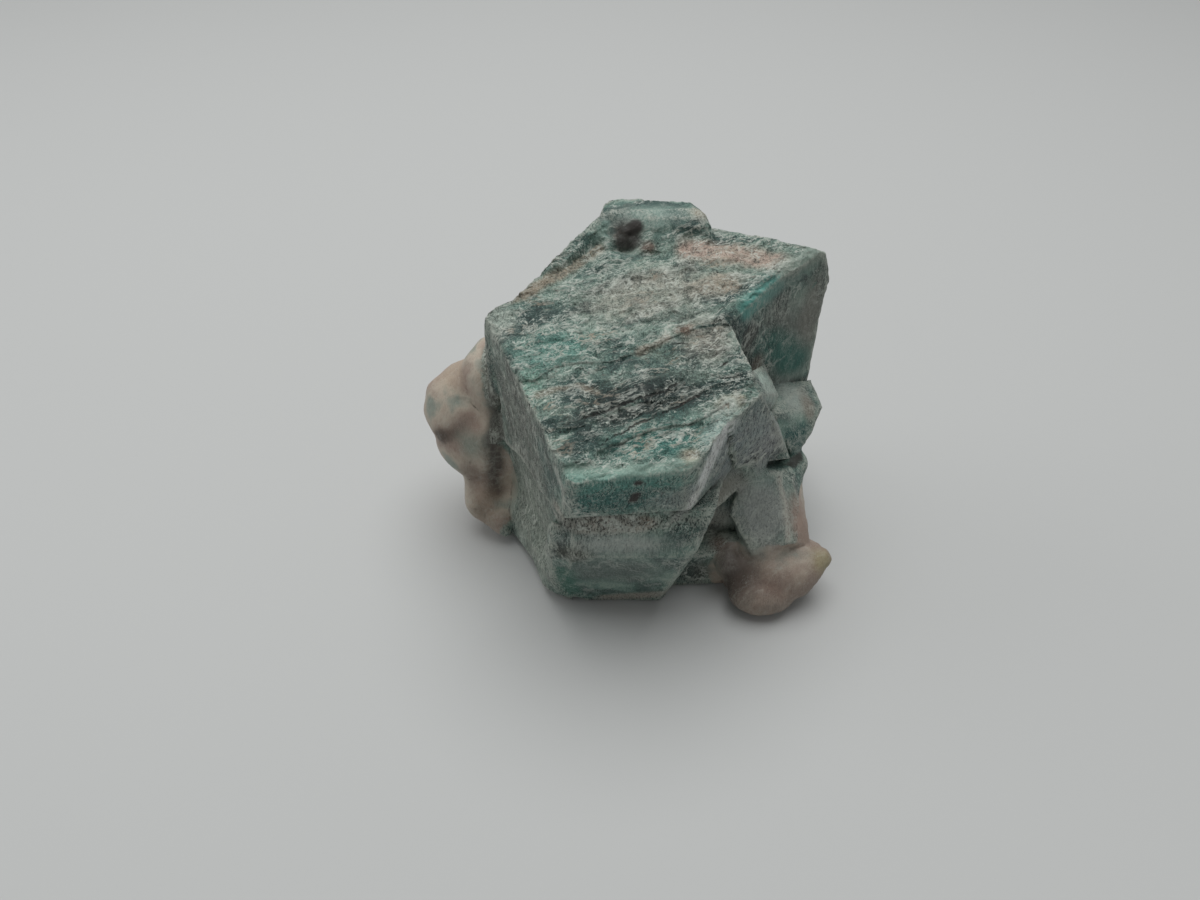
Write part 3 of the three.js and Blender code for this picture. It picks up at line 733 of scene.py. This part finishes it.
def reliefTree():
    tree = bpy.data.node_groups.new("feldsparRelief", "GeometryNodeTree")
    tree.interface.new_socket("Geometry", in_out="INPUT", socket_type="NodeSocketGeometry")
    for name in relief:
        tree.interface.new_socket(name, in_out="INPUT", socket_type="NodeSocketFloat")
    tree.interface.new_socket("Material", in_out="INPUT", socket_type="NodeSocketMaterial")
    tree.interface.new_socket("Geometry", in_out="OUTPUT", socket_type="NodeSocketGeometry")
    entry = tree.nodes.new("NodeGroupInput").outputs
    read = {
        name: addNode(tree, "GeometryNodeInputNamedAttribute", {"Name": name}, data_type="FLOAT")
        for name in ("topFace", "lumpy", "edgeWear", "crackAway", "crackOpen", "ground", "rugged", "hole")
    }
    grainPlace = addNode(tree, "GeometryNodeInputNamedAttribute", {"Name": "grain"}, data_type="FLOAT_VECTOR")
    bent = bentPlace(tree, grainPlace)
    crystal = addNode(tree, "ShaderNodeMath", {0: 1.0, 1: read["lumpy"]}, operation="SUBTRACT")

    # Ledges: a slow pattern drawn out along the grain and cut into steps.
    place = addNode(tree, "ShaderNodeVectorMath", {0: bent, 1: ledgesPerMm}, operation="MULTIPLY")
    swell = addNode(tree, "ShaderNodeTexNoise", {
        "Vector": place, "Scale": 1.0, "Detail": 5.0, "Roughness": 0.55,
    })
    levels = addNode(tree, "ShaderNodeMath", {0: swell, 1: entry["Ledge count"]}, operation="MULTIPLY")
    level = addNode(tree, "ShaderNodeMath", {0: levels}, operation="FLOOR")
    rest = addNode(tree, "ShaderNodeMath", {0: levels, 1: level}, operation="SUBTRACT")
    step = addNode(tree, "ShaderNodeMapRange", {"Value": rest, "From Min": 0.86, "From Max": 1.0},
                   interpolation_type="SMOOTHSTEP")
    ledge = addNode(tree, "ShaderNodeMath", {0: level, 1: step}, operation="ADD")
    middleLevel = addNode(tree, "ShaderNodeMath", {0: entry["Ledge count"], 1: 0.5}, operation="MULTIPLY")
    ledge = addNode(tree, "ShaderNodeMath", {0: ledge, 1: middleLevel}, operation="SUBTRACT")

    # Lumps, the broken skin between them, and grit.
    shapes = {}
    for name, (size, detail) in reliefShapes.items():
        wave = addNode(tree, "ShaderNodeTexNoise", {
            "Vector": grainPlace, "Scale": 1 / size, "Detail": detail,
        })
        shapes[name] = addNode(tree, "ShaderNodeMath", {0: wave, 1: noiseMiddle}, operation="SUBTRACT")

    # Chips, and cracks with a wandering edge. Both go down.
    chip = addNode(tree, "ShaderNodeMapRange", {
        "Value": shapes["pebble"], "From Min": 0.0, "From Max": 0.2, "To Max": -1.0,
    })
    wobble = addNode(tree, "ShaderNodeMath", {0: shapes["pebble"], 1: crackWobble, 2: read["crackAway"]},
                     operation="MULTIPLY_ADD")
    wobble = addNode(tree, "ShaderNodeMath", {0: wobble}, operation="ABSOLUTE")
    groove = addNode(tree, "ShaderNodeMapRange", {
        "Value": wobble, "From Min": 0.22, "From Max": 0.03, "To Max": -1.0,
    })

    total = 0.0
    for shape, size, mask in (
        (streaks(tree, bent, "veins"), "Vein height", read["topFace"]),
        (ledge, "Ledge height", read["topFace"]),
        (shapes["grit"], "Grit height", read["topFace"]),
        (shapes["pebble"], "Pebble height", crystal),
        (shapes["lump"], "Lump height", read["lumpy"]),
        (shapes["pebble"], "Rough height", read["rugged"]),
        (chip, "Chip depth", read["edgeWear"]),
        (groove, "Crack depth", read["crackOpen"]),
        (-1.0, "Hole depth", read["hole"]),
    ):
        part = addNode(tree, "ShaderNodeMath", {0: shape, 1: entry[size]}, operation="MULTIPLY")
        part = addNode(tree, "ShaderNodeMath", {0: part, 1: mask}, operation="MULTIPLY")
        total = addNode(tree, "ShaderNodeMath", {0: total, 1: part}, operation="ADD")
    for factor in (read["ground"], mm):
        total = addNode(tree, "ShaderNodeMath", {0: total, 1: factor}, operation="MULTIPLY")
    normal = addNode(tree, "GeometryNodeInputNormal")
    offset = addNode(tree, "ShaderNodeVectorMath", {0: normal, "Scale": total}, operation="SCALE")

    # Strays: a sideways shift that makes every straight step and edge wander.
    stray = wandering(tree, grainPlace, straysPerMm, 4.0, 0.5)
    loose = addNode(tree, "ShaderNodeMapRange", {"Value": read["topFace"], "To Min": 0.3, "To Max": 1.0})
    for factor in (entry["Stray"], read["ground"], mm):
        loose = addNode(tree, "ShaderNodeMath", {0: loose, 1: factor}, operation="MULTIPLY")
    stray = addNode(tree, "ShaderNodeVectorMath", {0: stray, "Scale": loose}, operation="SCALE")
    offset = addNode(tree, "ShaderNodeVectorMath", {0: offset, 1: stray}, operation="ADD")
    shaped = addNode(tree, "GeometryNodeSetPosition", {"Geometry": entry["Geometry"], "Offset": offset})
    shaped = addNode(tree, "GeometryNodeRealizeInstances", {0: shaped})
    shaped = addNode(tree, "GeometryNodeSetMaterial", {"Geometry": shaped, "Material": entry["Material"]})
    addNode(tree, "NodeGroupOutput", {"Geometry": shaped})
    return tree


def carve(stone, material):
    tree = reliefTree()
    modifier = stone.modifiers.new("relief", "NODES")
    modifier.node_group = tree
    settings = dict(relief, Material=material)
    for item in tree.interface.items_tree:
        if item.in_out == "INPUT" and item.name in settings:
            modifier[item.identifier] = settings[item.name]
    takeShape(stone)


# Microcline feldspar, cleaved and broken, never polished: satin on the cleavage, dull and chalky where it is
# streaked with albite, and matt where brown feldspar and iron stain cover it.
feldspar = {
    "deep": "38544f",
    "teal": "5e7d73",
    "mint": "8aa295",
    "albite": "d0d6cc",
    "shade": "161d1c",
    "beige": "b3a693",
    "fawn": "b7ac9c",
    "pinkBrown": "9f8c7f",
    "greenGrey": "8f968b",
    # dark colour of dirt and of painted shade in crevices, the pit and cracks
    "dirtAndShade": "28241f",
    # pale colour of worn edges and fibres, and of the painted highlight on crack lips
    "wearAndHighlight": "b4b9ae",
}

# The surface: how strongly the fine grain shows, and sizes in mm.
finish = {
    "crystals": 1.0,  # the fine grain on the crystals
    "lumps": 0.3,  # and on the brown lumps
    "pale": 0.6,  # how pale the seams and threads are
    "veins": 0.85,  # how white the long veins are
    "seamSize": (1.3, 0.6, 0.8),  # the net of pale seams round dark grains
    "blotchesPerMm": 0.26,  # of brown, pink and green on the lumps
    # lipAway: the pale lip along a crack is a painted highlight
    "lipAway": 0.22,  # from a crack to the middle of its pale lip
    "dirtAndShadeRagged": 1.8,
    "bump": 0.07,
    "ior": 1.53,
}

# Noise in the colours: repeats per mm along the grain, across it and up, then its detail and roughness.
noises = {
    "zone": ((0.2, 0.45, 0.25), 6.0, 0.6),  # broad zones of deeper and paler colour
    "band": ((0.16, 0.5, 0.3), 5.0, 0.6),  # where veins cluster and cracks fade
    "busy": ((0.55, 0.55, 0.55), 4.0, 0.6),  # where seams and scratches show
    "speck": ((1.3, 1.3, 1.3), 7.0, 0.7),  # ragged borders and uneven gloss
    "grit": (perMm(0.19, 0.13, 0.16), 3.0, 0.7),
    "scratch": (perMm(0.16, 0.16, 1.1), 2.0, 0.5),  # upright, as the sheets are
}

# Masks that are one pattern over a range: the pattern, where its range runs from and to, and what the mask is
# at either end.
ranges = {
    "busy": ("busy", 0.43, 0.57, 0, 1),
    "paler": ("zone", 0.5, 0.6, 0, 1),
    "deeper": ("zone", 0.5, 0.41, 0, 1),
    "pinker": ("blotch", 0.45, 0.6, 0, 1),
    "greener": ("blotch", 0.45, 0.34, 0, 1),
    "iron": ("blotch", 0.5, 0.62, 0, 1),
    "cluster": ("band", 0.46, 0.6, 0, 1),
    "faint": ("band", 0.42, 0.54, 0, 1),
    "quiet": ("calm", 0, 1, 1, 0.4),
    "tatter": ("calm", 0, 1, 1.6, 0.5),
    "broken": ("rugged", 0, 1, 1, 1.7),
    "faded": ("dim", 0, 1, 1, 0.65),
    "creviceKept": ("topFace", 0, 1, 0.6, 0.25),
    "upright": ("topFace", 0, 1, 1, 0),
    "bare": ("brownEdge", 0, 1, 0.9, 0.1),
    "rough": ("speck", 0, 1, 0.45, 0.7),
}

# How much each pattern counts where several are added up, and what each sum starts from.
blends = {
    "paleLines": dict(base=0, threads=1, seam=0.9),
    "topGrain": dict(base=-0.12, grit=2.2, ragged=1.1, paleLines=1, dim=-0.2),
    "sideGrain": dict(base=-0.08, grit=1.2, scratchLine=0.9, scratch=1.8),
    "brownEdge": dict(base=0, lumpy=1, ragged=1),
    "rub": dict(base=0.5, scratch=2.5, grit=1.5),
    "fibre": dict(base=0, scratchLine=1, scratch=2, grit=2),
    "wander": dict(base=0, crackAway=1, ragged=0.9),
    "height": dict(base=0, fine=1, vein=0.5, crackLine=-2),
}


# Adds up the patterns that a blend names, each times its weight.
def blend(tree, parts, name):
    weights = dict(blends[name])
    total = weights.pop("base")
    for pattern, weight in weights.items():
        total = addNode(tree, "ShaderNodeMath", {0: parts[pattern], 1: weight, 2: total},
                        operation="MULTIPLY_ADD")
    return total


# Lays colours over one another, from the bottom up, each as far as its mask covers. A Mix node takes its two
# colours at inputs 6 and 7 and gives the mixed one at output 2.
def coats(tree, colour, layers):
    for cover, coat in layers:
        colour = addNode(tree, "ShaderNodeMix", {0: cover, 6: colour, 7: coat}, take=2, data_type="RGBA")
    return colour


# The patterns that the masks share: waves swing about 0, and lines are 1 along their middles.
def addPatterns(tree, parts):
    bent = bentPlace(tree, parts["grain"])
    for name in ("veins", "threads"):
        parts[name] = streaks(tree, bent, name)
    for name, (repeats, detail, roughness) in noises.items():
        place = addNode(tree, "ShaderNodeVectorMath", {0: bent, 1: repeats}, operation="MULTIPLY")
        parts[name] = addNode(tree, "ShaderNodeTexNoise", {
            "Vector": place, "Scale": 1.0, "Detail": detail, "Roughness": roughness,
        })
    for wave, noise in {"ragged": "speck", "grit": "grit", "scratch": "scratch"}.items():
        parts[wave] = addNode(tree, "ShaderNodeMath", {0: parts[noise], 1: noiseMiddle}, operation="SUBTRACT")
    parts["blotch"] = addNode(tree, "ShaderNodeTexNoise", {
        "Vector": parts["grain"], "Scale": finish["blotchesPerMm"], "Detail": 4.0,
    })
    brownEdge = blend(tree, parts, "brownEdge")
    parts["brownEdge"] = addNode(tree, "ShaderNodeMapRange", {
        "Value": brownEdge, "From Min": 0.3, "From Max": 0.6,
    })
    for name, (pattern, fromMin, fromMax, toMin, toMax) in ranges.items():
        parts[name] = addNode(tree, "ShaderNodeMapRange", {
            "Value": parts[pattern], "From Min": fromMin, "From Max": fromMax,
            "To Min": toMin, "To Max": toMax,
        })
    line = addNode(tree, "ShaderNodeMath", {0: parts["scratch"]}, operation="ABSOLUTE")
    line = addNode(tree, "ShaderNodeMapRange", {
        "Value": line, "From Min": 0.0, "From Max": 0.04, "To Min": 1.0, "To Max": 0.0,
    })
    parts["scratchLine"] = addNode(tree, "ShaderNodeMath", {0: line, 1: parts["busy"]}, operation="MULTIPLY")
    place = addNode(tree, "ShaderNodeVectorMath", {0: bent, 1: perMm(*finish["seamSize"])},
                    operation="MULTIPLY")
    jitter = addNode(tree, "ShaderNodeTexNoise", {"Vector": place, "Scale": 1.0, "Detail": 2.0}, take="Color")
    place = addNode(tree, "ShaderNodeVectorMath", {0: place, 1: jitter}, operation="ADD")
    seam = addNode(tree, "ShaderNodeTexVoronoi", {"Vector": place, "Scale": 1.0}, feature="DISTANCE_TO_EDGE")
    parts["seam"] = addNode(tree, "ShaderNodeMapRange", {
        "Value": seam, "From Min": 0.0, "From Max": 0.09, "To Min": 1.0, "To Max": 0.0,
    })


# The fine grain. The top face has pale seams and threads, dark grains between them and grit over both, and on
# the other faces the same sheets show as fine upright scratches.
def addFineGrain(tree, parts):
    paleLines = blend(tree, parts, "paleLines")
    for factor in (parts["busy"], finish["pale"]):
        paleLines = addNode(tree, "ShaderNodeMath", {0: paleLines, 1: factor}, operation="MULTIPLY")
    parts["paleLines"] = paleLines
    fine = addNode(tree, "ShaderNodeMix", {
        0: parts["topFace"], 2: blend(tree, parts, "sideGrain"), 3: blend(tree, parts, "topGrain"),
    })
    strength = addNode(tree, "ShaderNodeMix", {
        0: parts["brownEdge"], 2: finish["crystals"], 3: finish["lumps"],
    })
    for factor in (parts["quiet"], parts["broken"]):
        strength = addNode(tree, "ShaderNodeMath", {0: strength, 1: factor}, operation="MULTIPLY")
    parts["strength"] = strength
    fine = addNode(tree, "ShaderNodeMath", {0: fine, 1: strength}, operation="MULTIPLY")
    parts["fine"] = fine
    parts["darker"] = addNode(tree, "ShaderNodeMapRange", {
        "Value": fine, "From Min": 0.0, "From Max": -0.5, "To Min": 0.0, "To Max": 0.85,
    })
    parts["lighter"] = addNode(tree, "ShaderNodeMapRange", {
        "Value": fine, "From Min": 0.02, "From Max": 0.6, "To Min": 0.0, "To Max": 0.85,
    })


# White albite veins in clusters, and where iron has stained them beige.
def addVeins(tree, parts):
    vein = parts["veins"]
    for factor in (parts["cluster"], parts["strength"], finish["veins"], parts["faded"]):
        vein = addNode(tree, "ShaderNodeMath", {0: vein, 1: factor}, operation="MULTIPLY")
    parts["vein"] = vein
    parts["iron"] = addNode(tree, "ShaderNodeMath", {0: parts["iron"], 1: parts["topFace"]},
                            operation="MULTIPLY")


# Pale worn edges, broken up by the scratches, and pale fibres in a band along the edges of the upright faces.
def addWornEdges(tree, parts):
    upright = addNode(tree, "ShaderNodeMath", {0: parts["upright"], 1: parts["brownEdge"]},
                      operation="SUBTRACT", use_clamp=True)
    for name, edge, share in (("rub", "edgeWear", parts["bare"]), ("fibre", "edgeBand", upright)):
        marks = addNode(tree, "ShaderNodeClamp", {"Value": blend(tree, parts, name)})
        for factor in (parts[edge], share):
            marks = addNode(tree, "ShaderNodeMath", {0: marks, 1: factor}, operation="MULTIPLY")
        parts[name] = marks


# Cracks: a thin dark line of painted shade that wanders and fades, with a pale lip behind it that is a
# painted highlight.
def addCracks(tree, parts):
    wander = blend(tree, parts, "wander")
    line = addNode(tree, "ShaderNodeMath", {0: wander}, operation="ABSOLUTE")
    line = addNode(tree, "ShaderNodeMapRange", {"Value": line, "From Min": 0.12, "From Max": 0.03})
    lip = addNode(tree, "ShaderNodeMath", {0: wander, 1: finish["lipAway"]}, operation="SUBTRACT")
    lip = addNode(tree, "ShaderNodeMath", {0: lip}, operation="ABSOLUTE")
    lip = addNode(tree, "ShaderNodeMapRange", {
        "Value": lip, "From Min": 0.14, "From Max": 0.03, "To Min": 0.0, "To Max": 0.6,
    })
    for name, marks, fading in (("crackLine", line, "faint"), ("lip", lip, "busy")):
        for factor in (parts[fading], parts["crackOpen"]):
            marks = addNode(tree, "ShaderNodeMath", {0: marks, 1: factor}, operation="MULTIPLY")
        parts[name] = marks


# Stains, and a dark coat of dirt and painted shade in crevices, holes and cracks. Both have borders that are
# ragged but for the calm places.
def addStainsDirtAndShade(tree, parts):
    stain = addNode(tree, "ShaderNodeMath", {
        0: parts["ragged"], 1: parts["tatter"], 2: parts["stainAmount"],
    }, operation="MULTIPLY_ADD")
    stain = addNode(tree, "ShaderNodeMapRange", {"Value": stain, "From Min": 0.1, "From Max": 0.9})
    parts["stain"] = addNode(tree, "ShaderNodeMath", {0: stain, 1: parts["stainAmount"]},
                             operation="MULTIPLY")
    # crevices darken with dirt and painted shade, less on the top face
    dirtAndShade = addNode(tree, "ShaderNodeMath", {0: parts["crevice"], 1: parts["creviceKept"]}, operation="MULTIPLY")
    dirtAndShade = addNode(tree, "ShaderNodeMath", {0: dirtAndShade, 1: parts["dark"]}, operation="MAXIMUM")
    edge = addNode(tree, "ShaderNodeMath", {0: parts["ragged"], 1: finish["dirtAndShadeRagged"]},
                   operation="MULTIPLY")
    edge = addNode(tree, "ShaderNodeMath", {0: edge, 1: parts["tatter"], 2: dirtAndShade}, operation="MULTIPLY_ADD")
    edge = addNode(tree, "ShaderNodeMapRange", {"Value": edge, "From Min": 0.2, "From Max": 0.8})
    dirtAndShade = addNode(tree, "ShaderNodeMath", {0: dirtAndShade, 1: edge}, operation="MULTIPLY", use_clamp=True)
    parts["dirtAndShade"] = addNode(tree, "ShaderNodeMath", {0: dirtAndShade, 1: parts["crackLine"]}, operation="MAXIMUM")


def feldsparMaterial():
    material = bpy.data.materials.new("cleavedMicroclineFeldspar")
    material.use_nodes = True
    tree = material.node_tree
    tree.nodes.clear()
    # Everything that the colours are made from, by name.
    parts = {
        name: addNode(tree, "ShaderNodeAttribute", take="Fac", attribute_name=name)
        for name in ("topFace", "lumpy", "edgeWear", "crevice", "dark", "crackAway", "crackOpen", "edgeBand",
                     "calm", "rugged", "dim")
    }
    for name, attribute, take in (
        ("grain", "grain", "Vector"), ("stainColour", "stain", "Color"), ("stainAmount", "stain", "Alpha"),
    ):
        parts[name] = addNode(tree, "ShaderNodeAttribute", take=take, attribute_name=attribute)
    addPatterns(tree, parts)
    addFineGrain(tree, parts)
    addVeins(tree, parts)
    addWornEdges(tree, parts)
    addCracks(tree, parts)
    addStainsDirtAndShade(tree, parts)

    paint = {name: linear(hexColour) for name, hexColour in feldspar.items()}
    brown = coats(tree, paint["fawn"], [
        (parts["pinker"], paint["pinkBrown"]),
        (parts["greener"], paint["greenGrey"]),
    ])
    veinColour = coats(tree, paint["albite"], [(parts["iron"], paint["beige"])])
    colour = coats(tree, paint["teal"], [
        (parts["paler"], paint["mint"]),
        (parts["deeper"], paint["deep"]),
        (parts["brownEdge"], brown),
        (parts["stain"], parts["stainColour"]),
        (parts["darker"], paint["shade"]),
        (parts["lighter"], paint["albite"]),
        (parts["vein"], veinColour),
        (parts["rub"], paint["wearAndHighlight"]),
        (parts["fibre"], paint["wearAndHighlight"]),
        # the crack lips are a painted highlight
        (parts["lip"], paint["wearAndHighlight"]),
        # last, dirt and painted shade
        (parts["dirtAndShade"], paint["dirtAndShade"]),
    ])

    # What is pale stands up in the shading, and what is dark lies low.
    bumped = addNode(tree, "ShaderNodeBump", {
        "Height": blend(tree, parts, "height"), "Strength": 1.0, "Distance": finish["bump"] * mm,
    })
    shader = addNode(tree, "ShaderNodeBsdfPrincipled", {
        "Base Color": colour, "Roughness": parts["rough"], "Normal": bumped, "IOR": finish["ior"],
    })
    addNode(tree, "ShaderNodeOutputMaterial", {"Surface": shader})
    return material


# Pale matt paper, a wide lamp overhead and a soft one at the left. Sizes are in mm, and power is in watts.
stage = {
    "floorSize": 3000,
    "floorColour": "c3c5c4",
    "floorRoughness": 0.9,
    "worldColour": "ffffff",
    "worldStrength": 0.23,
    "cameraAt": (-2.74, -73.33, 82.6),
    "cameraDown": 43.5,  # degrees below level
    "lens": 27.45,
    "sensor": 36,
    "sees": (1, 10000),  # nearest and furthest
}
lampAim = (0, 0, 15)
lamps = {
    "overhead": dict(at=(0, 80, 420), size=420, power=1.43),
    "leftSoftbox": dict(at=(-380, 60, 220), size=260, power=0.23),
}


def makeFloor():
    half = stage["floorSize"] * mm / 2
    data = bpy.data.meshes.new("floor")
    corners = [(-half, -half, 0), (half, -half, 0), (half, half, 0), (-half, half, 0)]
    data.from_pydata(corners, [], [(0, 1, 2, 3)])
    floor = bpy.data.objects.new("floor", data)
    bpy.context.scene.collection.objects.link(floor)
    material = bpy.data.materials.new("paleMattPaper")
    material.use_nodes = True
    shader = material.node_tree.nodes["Principled BSDF"]
    shader.inputs["Base Color"].default_value = linear(stage["floorColour"])
    shader.inputs["Roughness"].default_value = stage["floorRoughness"]
    data.materials.append(material)


def makeLight():
    world = bpy.data.worlds.new("studio")
    world.use_nodes = True
    background = world.node_tree.nodes["Background"]
    background.inputs["Color"].default_value = linear(stage["worldColour"])
    background.inputs["Strength"].default_value = stage["worldStrength"]
    bpy.context.scene.world = world
    for name, lamp in lamps.items():
        data = bpy.data.lights.new(name, "AREA")
        data.shape = "DISK"
        data.size = lamp["size"] * mm
        data.energy = lamp["power"]
        light = bpy.data.objects.new(name, data)
        light.location = Vector(lamp["at"]) * mm
        towards = Vector(lampAim) * mm - light.location
        light.rotation_euler = towards.to_track_quat("-Z", "Y").to_euler()
        bpy.context.scene.collection.objects.link(light)


def makeCamera():
    data = bpy.data.cameras.new("camera")
    data.lens = stage["lens"]
    data.sensor_width = stage["sensor"]
    data.clip_start, data.clip_end = (distance * mm for distance in stage["sees"])
    camera = bpy.data.objects.new("camera", data)
    camera.location = Vector(stage["cameraAt"]) * mm
    camera.rotation_euler = (math.radians(90 - stage["cameraDown"]), 0, 0)
    bpy.context.scene.collection.objects.link(camera)
    bpy.context.scene.camera = camera


bpy.context.scene.view_settings.view_transform = "Standard"
makeFloor()
makeLight()
makeCamera()
print("floor, light and camera are set")

stone = evenStone(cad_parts["amazonite"])
refineTop(stone)
easeSteps(stone)
soften(stone)
stepBack(stone)
print("even mesh:", len(stone.data.polygons), "faces")
mark(stone)
print("zones and stains are marked")
carve(stone, feldsparMaterial())
print("relief is carved:", len(stone.data.polygons), "faces")
stone.data.shade_smooth()

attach(stone, "root")
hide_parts("amazonite")
